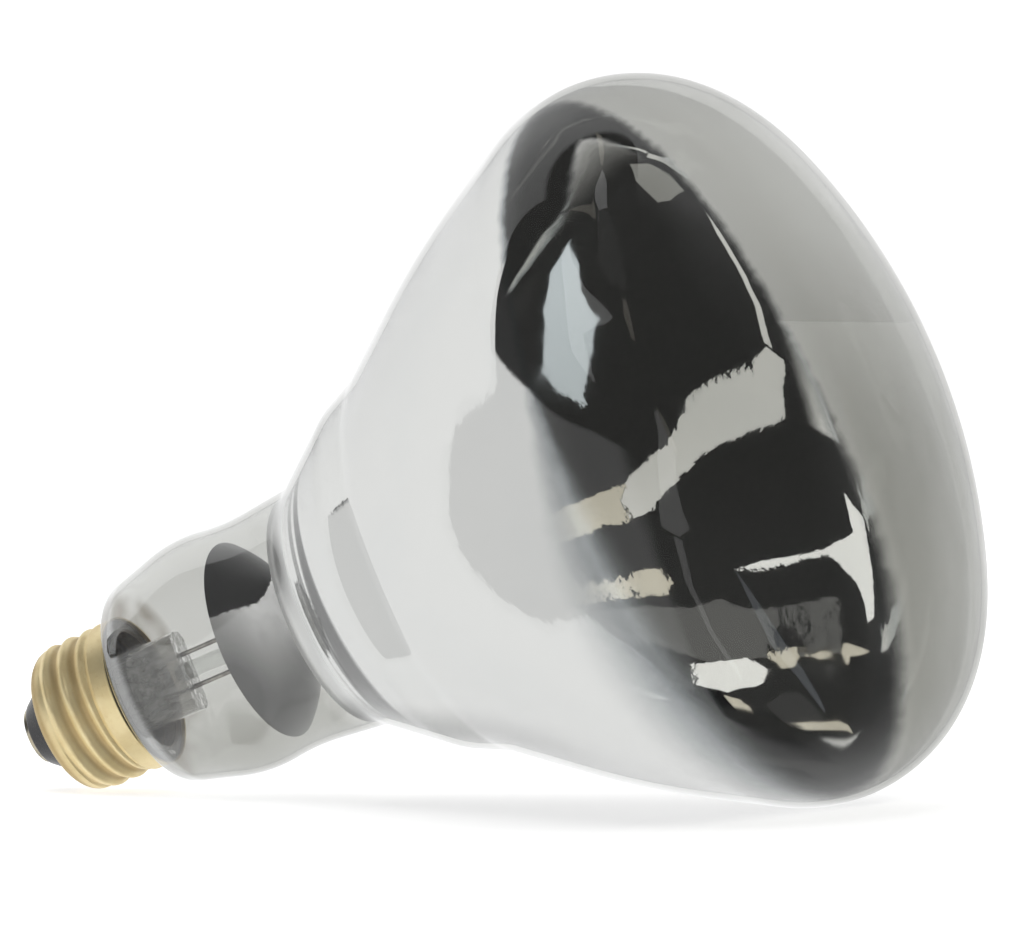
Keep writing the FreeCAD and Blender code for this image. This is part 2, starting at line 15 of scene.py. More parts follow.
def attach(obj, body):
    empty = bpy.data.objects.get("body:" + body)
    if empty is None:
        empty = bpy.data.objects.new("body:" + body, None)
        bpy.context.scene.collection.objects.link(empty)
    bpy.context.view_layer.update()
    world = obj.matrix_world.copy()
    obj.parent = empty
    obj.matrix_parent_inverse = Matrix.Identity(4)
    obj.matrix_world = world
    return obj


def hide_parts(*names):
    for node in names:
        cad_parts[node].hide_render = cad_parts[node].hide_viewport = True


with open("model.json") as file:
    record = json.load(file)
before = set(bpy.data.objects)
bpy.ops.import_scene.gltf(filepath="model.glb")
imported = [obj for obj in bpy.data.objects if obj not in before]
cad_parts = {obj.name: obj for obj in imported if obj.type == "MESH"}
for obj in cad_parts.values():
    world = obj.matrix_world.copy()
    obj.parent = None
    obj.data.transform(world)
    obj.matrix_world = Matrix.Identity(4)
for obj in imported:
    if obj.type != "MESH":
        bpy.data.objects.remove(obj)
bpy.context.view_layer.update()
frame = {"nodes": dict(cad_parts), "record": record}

LOG = logging.getLogger("heat_lamp")
MM = 0.001
PHOTO_WIDTH = 1027
COLLAR_HEIGHT = 20.5

Colour = tuple[float, float, float]
Profile = list[tuple[float, float]]
Nodes = dict[str, bpy.types.Object]


class Slot(Enum):
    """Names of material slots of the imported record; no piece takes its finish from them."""

    CLEAR_GLASS = "clear_glass"
    SILVER_FILM = "silver_film"
    TUNGSTEN = "tungsten"


class Operation(Enum):
    """What a Math node does with its terms."""

    ADD = "ADD"
    SUBTRACT = "SUBTRACT"
    MULTIPLY = "MULTIPLY"
    DIVIDE = "DIVIDE"
    POWER = "POWER"
    MAXIMUM = "MAXIMUM"
    ARCTAN2 = "ARCTAN2"


def rgba(colour: Colour) -> tuple[float, float, float, float]:
    """The colour with full opacity."""
    return (*colour, 1.0)


class Value:
    """A number socket that can be used in Python arithmetic."""

    def __init__(self, graph: "Graph", socket: bpy.types.NodeSocket) -> None:
        """Keep the socket and the graph that it belongs to."""
        self.graph = graph
        self.socket = socket

    def __add__(self, other: "Number") -> "Value":
        """Self plus other."""
        return self.graph.math(Operation.ADD, self, other)

    def __radd__(self, other: float) -> "Value":
        """Other plus self."""
        return self.graph.math(Operation.ADD, other, self)

    def __sub__(self, other: "Number") -> "Value":
        """Self minus other."""
        return self.graph.math(Operation.SUBTRACT, self, other)

    def __rsub__(self, other: float) -> "Value":
        """Other minus self."""
        return self.graph.math(Operation.SUBTRACT, other, self)

    def __mul__(self, other: "Number") -> "Value":
        """Self times other."""
        return self.graph.math(Operation.MULTIPLY, self, other)

    def __rmul__(self, other: float) -> "Value":
        """Other times self."""
        return self.graph.math(Operation.MULTIPLY, other, self)

    def __truediv__(self, other: "Number") -> "Value":
        """Self divided by other."""
        return self.graph.math(Operation.DIVIDE, self, other)

    def __pow__(self, other: "Number") -> "Value":
        """Self to the power of other."""
        return self.graph.math(Operation.POWER, self, other)

    def ramp(self, low: float, high: float) -> "Value":
        """A smooth step from 0 at low to 1 at high.

        Args:
            low: Value where the step starts; may lie above high.
            high: Value where the step ends.

        Returns:
            The stepped value.
        """
        step = self.graph.node(
            "ShaderNodeMapRange",
            {"interpolation_type": "SMOOTHSTEP"},
            {"Value": self, "From Min": min(low, high), "From Max": max(low, high)},
        )
        risen = Value(self.graph, step.outputs["Result"])
        return risen if low < high else 1 - risen


Number = Value | float


class Graph:
    """A node tree that is written as expressions."""

    def __init__(self, tree: bpy.types.NodeTree) -> None:
        """Empty the tree and keep it."""
        self.tree = tree
        tree.nodes.clear()

    def node(self, kind: str, settings: Mapping[str, Any], inputs: Mapping[Any, Any]) -> bpy.types.Node:
        """Add a node.

        Args:
            kind: Blender's type name of the node.
            settings: Properties to set first.
            inputs: A value, wrapped socket or socket for each input, by name or number.

        Returns:
            The new node.
        """
        made = self.tree.nodes.new(kind)
        for name, setting in settings.items():
            setattr(made, name, setting)
        for name, source in inputs.items():
            if isinstance(source, Value):
                self.tree.links.new(source.socket, made.inputs[name])
            elif isinstance(source, bpy.types.NodeSocket):
                self.tree.links.new(source, made.inputs[name])
            else:
                made.inputs[name].default_value = source
        return made

    def math(self, operation: Operation, *terms: Number) -> Value:
        """The result of a Math node on values or numbers."""
        made = self.node("ShaderNodeMath", {"operation": operation.value}, dict(enumerate(terms)))
        return Value(self, made.outputs[0])

    def dot(self, vector: bpy.types.NodeSocket, way: Sequence[float]) -> Value:
        """The part of a vector that points along a fixed direction."""
        made = self.node("ShaderNodeVectorMath", {"operation": "DOT_PRODUCT"}, {0: vector, 1: tuple(way)})
        return Value(self, made.outputs["Value"])

    def noise(self, vector: bpy.types.NodeSocket, scale: float, detail: float) -> Value:
        """A noise value around one half.

        Args:
            vector: Where the noise is read.
            scale: Features in each unit of the vector.
            detail: Number of finer layers.

        Returns:
            The noise, from 0 to 1.
        """
        made = self.node("ShaderNodeTexNoise", {}, {"Vector": vector, "Scale": scale, "Detail": detail})
        return Value(self, made.outputs["Fac"])

    def stretched(self, vector: bpy.types.NodeSocket, scale: Sequence[float]) -> bpy.types.NodeSocket:
        """The vector with each axis scaled by its own factor."""
        made = self.node("ShaderNodeVectorMath", {"operation": "MULTIPLY"}, {0: vector, 1: tuple(scale)})
        return made.outputs[0]

    def blend(self, share: Number, first: Any, second: Any) -> bpy.types.NodeSocket:
        """Mix two colours.

        Args:
            share: How much of the second colour shows, from 0 to 1.
            first: Colour or colour socket.
            second: Colour or colour socket.

        Returns:
            The mixed colour.
        """
        colours = [rgba(c) if isinstance(c, tuple) else c for c in (first, second)]
        made = self.node(
            "ShaderNodeMix",
            {"data_type": "RGBA", "clamp_factor": True},
            {0: share, 6: colours[0], 7: colours[1]},
        )
        return made.outputs[2]

    def bump(self, height: Value, distance: float) -> bpy.types.NodeSocket:
        """A normal that is tilted by a height.

        Args:
            height: The height, usually from 0 to 1.
            distance: Depth of a height of 1, in metres.

        Returns:
            The tilted normal.
        """
        made = self.node("ShaderNodeBump", {}, {"Height": height, "Distance": distance, "Strength": 1.0})
        return made.outputs[0]

    def shader(self, **inputs: Any) -> bpy.types.NodeSocket:
        """A main surface shader.

        Args:
            **inputs: Each input by its name, with underscores between the words.

        Returns:
            The shader.
        """
        named = {name.replace("_", " "): source for name, source in inputs.items()}
        made = self.node("ShaderNodeBsdfPrincipled", {}, named)
        return made.outputs[0]

    def mix(
        self, share: Number, first: bpy.types.NodeSocket, second: bpy.types.NodeSocket
    ) -> bpy.types.NodeSocket:
        """Mix two shaders by the share of the second."""
        made = self.node("ShaderNodeMixShader", {}, {0: share, 1: first, 2: second})
        return made.outputs[0]

    def surface(self, shader: bpy.types.NodeSocket) -> None:
        """Send a shader to the material's output."""
        self.node("ShaderNodeOutputMaterial", {}, {"Surface": shader})


@dataclass(frozen=True)
class LampAxis:
    """The lamp's own frame: z along its axis from the contact tip, y level, in the shared frame's metres."""

    tip: Vector
    way: Vector

    @classmethod
    def from_record(cls, record: Mapping[str, Any], collar_height: float) -> "LampAxis":
        """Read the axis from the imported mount.

        Args:
            record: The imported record.
            collar_height: Height of the mount's middle above the contact tip, in mm.

        Returns:
            The lamp's frame.
        """
        mount = record["mounts"][0]
        place = mount.get("pos_m") or mount["pose"]["pos_m"]
        out = mount.get("axis") or mount["pose"]["axis"]
        way = -Vector(out).normalized()
        return cls(Vector(place) - way * collar_height * MM, way)

    def matrix(self) -> Matrix:
        """The way from the lamp's millimetres to the shared frame's metres.

        Returns:
            The turn, shift and scale.
        """
        level = Vector((0.0, 1.0, 0.0))
        side = level.cross(self.way)
        turn = Matrix((side, level, self.way)).transposed().to_4x4()
        return Matrix.Translation(self.tip) @ turn @ Matrix.Scale(MM, 4)

    def place(self, graph: Graph) -> bpy.types.NodeSocket:
        """The shaded point in the lamp's own millimetres.

        Args:
            graph: The material's graph.

        Returns:
            The vector socket.
        """
        back = self.matrix().inverted()
        where = graph.node("ShaderNodeTexCoord", {}, {})
        made = graph.node(
            "ShaderNodeMapping",
            {"vector_type": "POINT"},
            {
                "Vector": where.outputs["Object"],
                "Location": tuple(back.to_translation()),
                "Rotation": tuple(back.to_euler()),
                "Scale": (1 / MM,) * 3,
            },
        )
        return made.outputs[0]

    def height_and_radius(self, graph: Graph, place: bpy.types.NodeSocket) -> tuple[Value, Value]:
        """Height along the axis and distance from it, in mm.

        Args:
            graph: The material's graph.
            place: The shaded point in the lamp's frame.

        Returns:
            Height and radius.
        """
        parts = graph.node("ShaderNodeSeparateXYZ", {}, {0: place})
        x, y, z = (Value(graph, socket) for socket in parts.outputs)
        return z, (x * x + y * y) ** 0.5


def new_material(name: str) -> tuple[bpy.types.Material, Graph]:
    """A material with an empty graph, whose glow isn't searched for as a light is, which would be slow.

    Args:
        name: The material's name.

    Returns:
        The material and its graph.
    """
    material = bpy.data.materials.new(name)
    material.use_nodes = True
    material.cycles.emission_sampling = "NONE"
    return material, Graph(material.node_tree)


@dataclass(frozen=True)
class BrassFinish:
    """Rolled brass: pale and bright on the crests, with painted shade making the grooves brown, and fine
    lines from rolling.
    """

    pale: Colour = (0.97, 0.82, 0.48)
    worn: Colour = (0.86, 0.69, 0.36)
    groove_shade: Colour = (0.46, 0.33, 0.15)
    crest_radius: float = 12.75
    root_radius: float = 12.25
    thread_top: float = 18.6

    def material(self, axis: LampAxis) -> bpy.types.Material:
        """Build the brass.

        Args:
            axis: The lamp's frame.

        Returns:
            The material.
        """
        material, graph = new_material("rolled_brass")
        place = axis.place(graph)
        height, radius = axis.height_and_radius(graph, place)
        threaded = height.ramp(self.thread_top, self.thread_top - 0.8)
        deep = radius.ramp(self.crest_radius, self.root_radius) * threaded
        cloud = graph.noise(place, 0.22, 4.0).ramp(0.36, 0.68)
        speck = graph.noise(place, 1.6, 5.0).ramp(0.52, 0.75)
        lines = graph.noise(graph.stretched(place, (0.12, 0.12, 9.0)), 1.0, 2.0)
        colour = graph.blend(cloud * 0.6 + speck * 0.3, self.pale, self.worn)
        # Painted shade: the thread's grooves are coloured dark brown.
        colour = graph.blend(deep * 0.7, colour, self.groove_shade)
        roughness = 0.40 + cloud * 0.1 + deep * 0.12 + speck * 0.08
        graph.surface(
            graph.shader(
                Base_Color=colour,
                Metallic=0.65,
                Roughness=roughness,
                Normal=graph.bump(lines * 0.6 + speck * 0.4, 0.00004),
            )
        )
        return material


@dataclass(frozen=True)
class MetalFinish:
    """A plain metal with cloudy tarnish, grain and fine lines."""

    name: str
    bright: Colour
    dull: Colour
    roughness: float
    grain: float = 2.0
    depth: float = 0.00001

    def material(self, axis: LampAxis) -> bpy.types.Material:
        """Build the metal.

        Args:
            axis: The lamp's frame.

        Returns:
            The material.
        """
        material, graph = new_material(self.name)
        place = axis.place(graph)
        cloud = graph.noise(place, 0.5, 4.0).ramp(0.35, 0.7)
        grain = graph.noise(place, self.grain, 4.0)
        graph.surface(
            graph.shader(
                Base_Color=graph.blend(cloud, self.bright, self.dull),
                Metallic=1.0,
                Roughness=self.roughness + cloud * 0.12 + grain * 0.06,
                Normal=graph.bump(grain, self.depth),
            )
        )
        return material


@dataclass(frozen=True)
class ShieldFinish:
    """Satin sheet with a painted dark reflection on its upper side, painted shade fading it from bright to
    grey below that and towards one side, and a painted glow on its bright part.
    """

    bright: Colour = (0.95, 0.95, 0.94)
    dull: Colour = (0.17, 0.17, 0.17)
    painted_glow_strength: float = 0.36
    painted_reflection_dark: Colour = (0.03, 0.03, 0.032)
    patch_edge: float = -4.7
    patch_lean: float = 0.48

    def material(self, axis: LampAxis) -> bpy.types.Material:
        """Build the satin sheet.

        Args:
            axis: The lamp's frame.

        Returns:
            The material.
        """
        material, graph = new_material("satin_sheet")
        place = axis.place(graph)
        parts = graph.node("ShaderNodeSeparateXYZ", {}, {0: place})
        down, across, _ = (Value(graph, socket) for socket in parts.outputs)
        # Painted reflection: a dark spot on the upper side stands in for the dark room that the dome
        # reflects. Painted shade fades the sheet from bright to grey below it and darkens one side.
        torn = graph.noise(place, 0.7, 3.0) - 0.5
        lean = graph.math(Operation.MAXIMUM, across + 9.0, 0.0) * self.patch_lean
        patch = (down + lean + torn * 1.2).ramp(self.patch_edge + 0.2, self.patch_edge - 0.2)
        painted_shade_fade = (down + torn * 2.0).ramp(-7.0, 13.0)
        side = across.ramp(-9.0, -17.5)
        scuff = graph.noise(graph.stretched(place, (0.5, 5.0, 5.0)), 1.0, 4.0).ramp(0.6, 0.8)
        colour = graph.blend(painted_shade_fade * 0.9 + side * 0.5, self.bright, self.dull)
        # Painted glow: where the sheet is bright and unshaded it gives off a little light of its own.
        lit = (1 - painted_shade_fade) * (1 - side * 0.8) * (1 - patch) * (0.9 + torn)
        graph.surface(
            graph.shader(
                Base_Color=graph.blend(patch, colour, self.painted_reflection_dark),
                Metallic=0.25,
                Roughness=0.34 + scuff * 0.1,
                Specular_IOR_Level=0.2,
                Emission_Color=graph.blend(lit, (0.0, 0.0, 0.0), (1.0, 1.0, 0.99)),
                Emission_Strength=self.painted_glow_strength,
                Normal=graph.bump(scuff, 0.00001),
            )
        )
        return material


@dataclass(frozen=True)
class DarkGlassFinish:
    """The black glass of the base button: glossy, with seeds and dusty scuffs."""

    body: Colour = (0.012, 0.012, 0.014)
    dust: Colour = (0.09, 0.085, 0.08)

    def material(self, axis: LampAxis) -> bpy.types.Material:
        """Build the black glass.

        Args:
            axis: The lamp's frame.

        Returns:
            The material.
        """
        material, graph = new_material("black_base_glass")
        place = axis.place(graph)
        dust = graph.noise(place, 0.9, 5.0).ramp(0.55, 0.8)
        seeds = graph.noise(place, 2.6, 2.0)
        graph.surface(
            graph.shader(
                Base_Color=graph.blend(dust * 0.6, self.body, self.dust),
                Roughness=0.22 + dust * 0.3,
                Specular_IOR_Level=0.3,
                Normal=graph.bump(seeds, 0.00003),
            )
        )
        return material


@dataclass(frozen=True)
class CementFinish:
    """Baked basing cement: sandy and matt."""

    pale: Colour = (0.20, 0.165, 0.125)
    dark: Colour = (0.10, 0.08, 0.06)

    def material(self, axis: LampAxis) -> bpy.types.Material:
        """Build the cement.

        Args:
            axis: The lamp's frame.

        Returns:
            The material.
        """
        material, graph = new_material("basing_cement")
        place = axis.place(graph)
        grain = graph.noise(place, 2.2, 6.0)
        graph.surface(
            graph.shader(
                Base_Color=graph.blend(grain.ramp(0.35, 0.7), self.pale, self.dark),
                Roughness=0.85 - grain * 0.1,
                Normal=graph.bump(grain, 0.0002),
            )
        )
        return material


@dataclass(frozen=True)
class ClearGlassFinish:
    """The blown envelope as a thin wall: mirror-like at a slant, clear ahead, greyer at rim and neck edge,
    with painted shade darkening rim and neck towards the bottom and a rim haze made heavier towards the top
    and one side as painted light.

    The fold above the screw shell is painted a smoky dark, which stands in for the dark inside of the base
    seen through the glass there.
    """

    clear: Colour = (0.985, 0.987, 0.983)
    grey: Colour = (0.93, 0.93, 0.915)
    painted_fold_dark: Colour = (0.42, 0.38, 0.33)
    deep: Colour = (0.66, 0.66, 0.635)
    haze: Colour = (0.90, 0.90, 0.89)
    refraction: float = 1.5
    rim_start: float = 130.0
    rim_end: float = 137.0
    neck_end: float = 60.0
    fold: float = 24.6
    shoulder: float = 25.8

    def material(self, axis: LampAxis) -> bpy.types.Material:
        """Build the glass.

        Args:
            axis: The lamp's frame.

        Returns:
            The material.
        """
        material, graph = new_material("clear_glass")
        place = axis.place(graph)
        height, radius = axis.height_and_radius(graph, place)
        normal = graph.bump(graph.noise(place, 0.06, 1.0), 0.0004)
        slant = graph.node("ShaderNodeFresnel", {}, {"IOR": self.refraction, "Normal": normal})
        facing = graph.node("ShaderNodeNewGeometry", {}, {})
        front = 1 - Value(graph, facing.outputs["Backfacing"])
        above_fold = height.ramp(self.shoulder - 1.6, self.shoulder)
        ring = above_fold * height.ramp(self.shoulder + 2.4, self.shoulder + 0.8)
        rim = height.ramp(self.rim_start, self.rim_end)
        gleam = (Value(graph, slant.outputs[0]) * (1.5 - rim * 0.6) + ring * 0.3) * front
        edge_on = graph.node("ShaderNodeLayerWeight", {}, {"Blend": 0.5})
        neck = height.ramp(self.neck_end, self.neck_end - 3.0)
        shaded = rim + neck * Value(graph, edge_on.outputs["Facing"]) ** 2.0
        streak = graph.noise(graph.stretched(place, (0.035, 0.035, 0.9)), 1.0, 2.0).ramp(0.45, 0.75)
        down = graph.dot(place, (1.0, 0.0, 0.0))
        # Partly painted light: the rim's streaked haze is the glass's own, but it is made heavier towards the
        # top and one side to lighten them.
        upper = down.ramp(20.0, -30.0)
        across = graph.dot(place, (0.0, 1.0, 0.0)).ramp(-10.0, 25.0)
        veil = rim * radius.ramp(40.0, 58.0) * (0.12 + streak * 0.2) * (0.2 + upper) * across * front + 0.012
        veil = veil + neck * front * 0.05
        # Painted shade: the rim and the neck take a darker tint towards the bottom.
        painted_low_shade = rim * down.ramp(-40.0, 20.0) + neck * down.ramp(-8.0, 22.0) * 0.75
        # Painted dark tint at the fold, for the dark inside of the base seen through it.
        smoky = height.ramp(self.fold, self.fold - 1.4) * graph.noise(place, 0.12, 1.0).ramp(0.3, 0.6)
        walls = [
            graph.node("ShaderNodeBsdfTransparent", {}, {"Color": rgba(tint)}).outputs[0]
            for tint in (self.clear, self.grey, self.painted_fold_dark, self.deep)
        ]
        body = graph.mix(painted_low_shade, graph.mix(shaded, walls[0], walls[1]), walls[3])
        body = graph.mix(smoky, body, walls[2])
        dust = graph.shader(Base_Color=rgba(self.haze), Roughness=0.6)
        shine = graph.shader(
            Base_Color=rgba((0.95, 0.96, 0.96)), Metallic=1.0, Roughness=0.015, Normal=normal
        )
        graph.surface(graph.mix(gleam, graph.mix(veil, body, dust), shine))
        return material


@dataclass(frozen=True)
class InnerWallFinish:
    """The inside of the envelope's wall: clear, with its own faint reflection."""

    tint: Colour = (0.985, 0.987, 0.983)
    refraction: float = 1.5

    def material(self) -> bpy.types.Material:
        """Build the inner wall.

        Returns:
            The material.
        """
        material, graph = new_material("inner_wall_glass")
        slant = graph.node("ShaderNodeFresnel", {}, {"IOR": self.refraction})
        facing = graph.node("ShaderNodeNewGeometry", {}, {})
        gleam = Value(graph, slant.outputs[0]) * (1 - Value(graph, facing.outputs["Backfacing"]))
        clear = graph.node("ShaderNodeBsdfTransparent", {}, {"Color": rgba(self.tint)})
        shine = graph.shader(Base_Color=rgba((0.95, 0.96, 0.96)), Metallic=1.0, Roughness=0.015)
        graph.surface(graph.mix(gleam, clear.outputs[0], shine))
        return material


@dataclass(frozen=True)
class FilmFinish:
    """The mirror film: vapour-deposited metal on rippled glass, thinning to nothing at both edges, with
    painted dark reflection lines near the neck's fillet and painted shade along its underside.
    """

    silver: Colour = (0.84, 0.84, 0.835)
    cool: Colour = (0.50, 0.56, 0.60)
    painted_dark: Colour = (0.06, 0.06, 0.06)
    start: float = 58.4
    fine_line: float = 65.4
    dark_line: float = 67.6
    end: float = 132.2
    droop: float = 5.5
    crisp: float = 2.5
    soft: float = 19.0

    def material(self, axis: LampAxis) -> bpy.types.Material:
        """Build the film.

        Args:
            axis: The lamp's frame.

        Returns:
            The material.
        """
        material, graph = new_material("mirror_film")
        place = axis.place(graph)
        height, radius = axis.height_and_radius(graph, place)
        down = graph.dot(place, (1.0, 0.0, 0.0))
        low = down.ramp(-20.0, 35.0)
        far = graph.dot(place, (0.0, 1.0, 0.0)).ramp(-5.0, 20.0)
        ragged = graph.noise(place, 0.35, 2.0) * 1.6 - 0.8
        last = self.end + low * self.droop * (1 - far * 0.4)
        edge = ((height + ragged - last) / (self.crisp + low * self.soft * (1 - far * 0.85))).ramp(-1.0, 0.0)
        begun = (height + ragged * 0.3).ramp(self.start, self.start + 0.8)
        # Painted reflection: two dark lines near the neck's fillet, the second widest underneath, stand in
        # for the dark surroundings that the curve reflects.
        fine = (height - self.fine_line) / 0.7
        dark = (height - self.dark_line) / (0.9 + low * 2.4)
        line = (fine * fine).ramp(1.0, 0.2) * 0.75 + (dark * dark).ramp(1.0, 0.2)
        cloud = graph.noise(place, 0.05, 1.0).ramp(0.35, 0.7)
        torn = down.ramp(-30.0, -14.0) * down.ramp(36.0, 28.0)
        ripple = graph.noise(place, 0.62, 2.0) * (torn * 0.010) + graph.noise(place, 0.16, 1.0) * 0.03
        # Painted shade: the film turns darker along its underside, from the neck to about the middle of the
        # bowl.
        painted_underside_shade = (down / radius).ramp(0.72, 0.97) * (1 - far) * height.ramp(110.0, 90.0) * 0.65
        colour = graph.blend(edge * 0.9 + cloud * 0.06, self.silver, self.cool)
        graph.surface(
            graph.shader(
                Base_Color=graph.blend(line * 0.9 + painted_underside_shade, colour, self.painted_dark),
                Metallic=1.0,
                Roughness=0.025 + cloud * 0.02 + height.ramp(64.0, 61.5) * 0.45,
                Alpha=(1 - edge) * begun,
                Normal=graph.bump(ripple, MM),
            )
        )
        return material


@dataclass(frozen=True)
class StemGlassFinish:
    """The pressed and drawn lead glass of the stem: smoky, with flow lines."""

    name: str = "stem_glass"
    tint: Colour = (0.74, 0.74, 0.72)
    body: Colour = (0.36, 0.36, 0.34)
    solidity: float = 0.4

    def material(self, axis: LampAxis) -> bpy.types.Material:
        """Build the stem glass.

        Args:
            axis: The lamp's frame.

        Returns:
            The material.
        """
        material, graph = new_material(self.name)
        place = axis.place(graph)
        flow = graph.noise(graph.stretched(place, (0.9, 0.9, 0.18)), 1.0, 3.0)
        normal = graph.bump(flow, 0.0006)
        slant = graph.node("ShaderNodeFresnel", {}, {"IOR": 1.55, "Normal": normal})
        facing = graph.node("ShaderNodeNewGeometry", {}, {})
        front = 1 - Value(graph, facing.outputs["Backfacing"])
        gleam = Value(graph, slant.outputs[0]) * front * 1.6
        clear = graph.node("ShaderNodeBsdfTransparent", {}, {"Color": rgba(self.tint)})
        milky = graph.blend(flow.ramp(0.3, 0.7), self.body, (0.62, 0.62, 0.60))
        milk = graph.shader(Base_Color=milky, Roughness=0.4)
        body = graph.mix(self.solidity * (0.6 + flow * 0.8), clear.outputs[0], milk)
        shine = graph.shader(Base_Color=rgba((0.95, 0.95, 0.94)), Metallic=1.0, Roughness=0.04, Normal=normal)
        graph.surface(graph.mix(gleam, body, shine))
        return material


def passed(graph: Graph) -> Value:
    """1 for a sight line that has passed through clear glass, 0 for others."""
    path = graph.node("ShaderNodeLightPath", {}, {})
    return Value(graph, path.outputs["Transparent Depth"]).ramp(0.0, 1.0)


def seen_through(graph: Graph) -> Value:
    """Whether a sight line has passed through clear glass, where the pale paper looks grey, not burnt out.

    Args:
        graph: The graph of the paper or the backdrop.

    Returns:
        1 behind glass, 0 in plain sight and in mirrors.
    """
    path = graph.node("ShaderNodeLightPath", {}, {})
    return Value(graph, path.outputs["Is Camera Ray"]) * passed(graph)


def bounces(graph: Graph) -> Value:
    """How many times a sight line has been turned by mirrors."""
    return Value(graph, graph.node("ShaderNodeLightPath", {}, {}).outputs["Ray Depth"])


@dataclass(frozen=True)
class FloorFinish:
    """Seamless white paper that glows a little, so that shadows on it stay soft."""

    paper: Colour = (0.82, 0.82, 0.815)
    shaded: Colour = (0.49, 0.49, 0.475)
    glow: float = 0.72

    def material(self) -> bpy.types.Material:
        """Build the paper.

        Returns:
            The material.
        """
        material, graph = new_material("white_paper")
        where = graph.node("ShaderNodeTexCoord", {}, {})
        fibre = graph.noise(where.outputs["Object"], 900.0, 3.0)
        behind = seen_through(graph)
        paper = graph.blend(fibre * 0.06, self.paper, (0.7, 0.7, 0.69))
        graph.surface(
            graph.shader(
                Base_Color=graph.blend(behind, paper, self.shaded),
                Roughness=0.9,
                Specular_IOR_Level=0.1,
                Emission_Color=graph.blend(behind, (1.0, 1.0, 1.0), self.shaded),
                Emission_Strength=self.glow,
            )
        )
        return material


@dataclass(frozen=True)
class CardFinish:
    """An evenly lit studio card that shows in some of the mirror's reflections."""

    colour: Colour
    strength: float
    first: int = 1
    last: int = 1

    def material(self, name: str) -> bpy.types.Material:
        """Build the card's glow.

        Args:
            name: The card's name.

        Returns:
            The material.
        """
        material, graph = new_material(name)
        depth = bounces(graph)
        shown = depth.ramp(self.first - 0.6, self.first - 0.4) * depth.ramp(self.last + 0.6, self.last + 0.4)
        colour = graph.blend(shown, (0.03, 0.03, 0.03), self.colour)
        glow = graph.node("ShaderNodeEmission", {}, {"Color": colour, "Strength": self.strength})
        graph.surface(glow.outputs[0])
        return material


def add_mesh(
    name: str, points: Sequence[Sequence[float]], faces: Sequence[Sequence[int]], place: Matrix
) -> bpy.types.Object:
    """Add a smooth mesh to the scene.

    Args:
        name: The piece's name.
        points: Corners in the piece's own units.
        faces: Corner numbers of each face.
        place: Turns the corners into the shared frame.

    Returns:
        The new object.
    """
    mesh = bpy.data.meshes.new(name)
    mesh.from_pydata([place @ Vector(point) for point in points], [], faces)
    mesh.polygons.foreach_set("use_smooth", [True] * len(mesh.polygons))
    mesh.update()
    made = bpy.data.objects.new(name, mesh)
    bpy.context.scene.collection.objects.link(made)
    return made


def revolved(name: str, outline: Profile, segments: int, place: Matrix) -> bpy.types.Object:
    """A closed ring of outline swept round the lamp's axis.

    Args:
        name: The piece's name.
        outline: Closed half section as (height, radius); points on the axis become poles.
        segments: Steps round the axis.
        place: Turns lamp millimetres into the shared frame.

    Returns:
        The new object.
    """
    points: list[tuple[float, float, float]] = []
    rings: list[list[int]] = []
    turns = [2 * math.pi * step / segments for step in range(segments)]
    for height, radius in outline:
        if radius < 1e-6:
            rings.append([len(points)] * segments)
            points.append((0.0, 0.0, height))
            continue
        rings.append(list(range(len(points), len(points) + segments)))
        points.extend((radius * math.cos(turn), radius * math.sin(turn), height) for turn in turns)
    faces: list[tuple[int, ...]] = []
    for low, high in zip(rings, rings[1:] + rings[:1]):
        for step in range(segments):
            ahead = (step + 1) % segments
            corners = dict.fromkeys((low[step], low[ahead], high[ahead], high[step]))
            if len(corners) > 2:
                faces.append(tuple(corners))
    return add_mesh(name, points, faces, place)


def dress(piece: bpy.types.Object, material: bpy.types.Material) -> None:
    """Give a piece one material."""
    piece.data.materials.clear()
    piece.data.materials.append(material)


def rounded(corners: Profile, radii: Sequence[float], steps: int) -> Profile:
    """A path through corners, each inner one rounded by its tangent arc.

    Args:
        corners: Corners as (height, radius).
        radii: Rounding of each inner corner.
        steps: Points on each arc.

    Returns:
        The path's points.
    """
    path = [corners[0]]
    for before, here, after, radius in zip(corners, corners[1:], corners[2:], radii):
        corner = Vector(here)
        back = (Vector(before) - corner).normalized()
        ahead = (Vector(after) - corner).normalized()
        half = back.angle(ahead) / 2
        centre = corner + (back + ahead).normalized() * radius / math.sin(half)
        first = corner + back * radius / math.tan(half) - centre
        last = corner + ahead * radius / math.tan(half) - centre
        turn = math.atan2(first.x * last.y - first.y * last.x, first.dot(last))
        for step in range(steps + 1):
            angle = turn * step / steps
            spoke = Matrix.Rotation(angle, 2) @ first
            path.append(tuple(centre + spoke))
    return path


def refined(path: Profile, spacing: float) -> Profile:
    """The path with points added so that none lie further apart than the spacing.

    Args:
        path: The points to start from.
        spacing: Largest distance between two points.

    Returns:
        The finer path.
    """
    fine = [path[0]]
    for start, end in zip(path, path[1:]):
        count = max(1, math.ceil(math.dist(start, end) / spacing))
        for step in range(1, count + 1):
            share = step / count
            fine.append((start[0] + (end[0] - start[0]) * share, start[1] + (end[1] - start[1]) * share))
    return fine


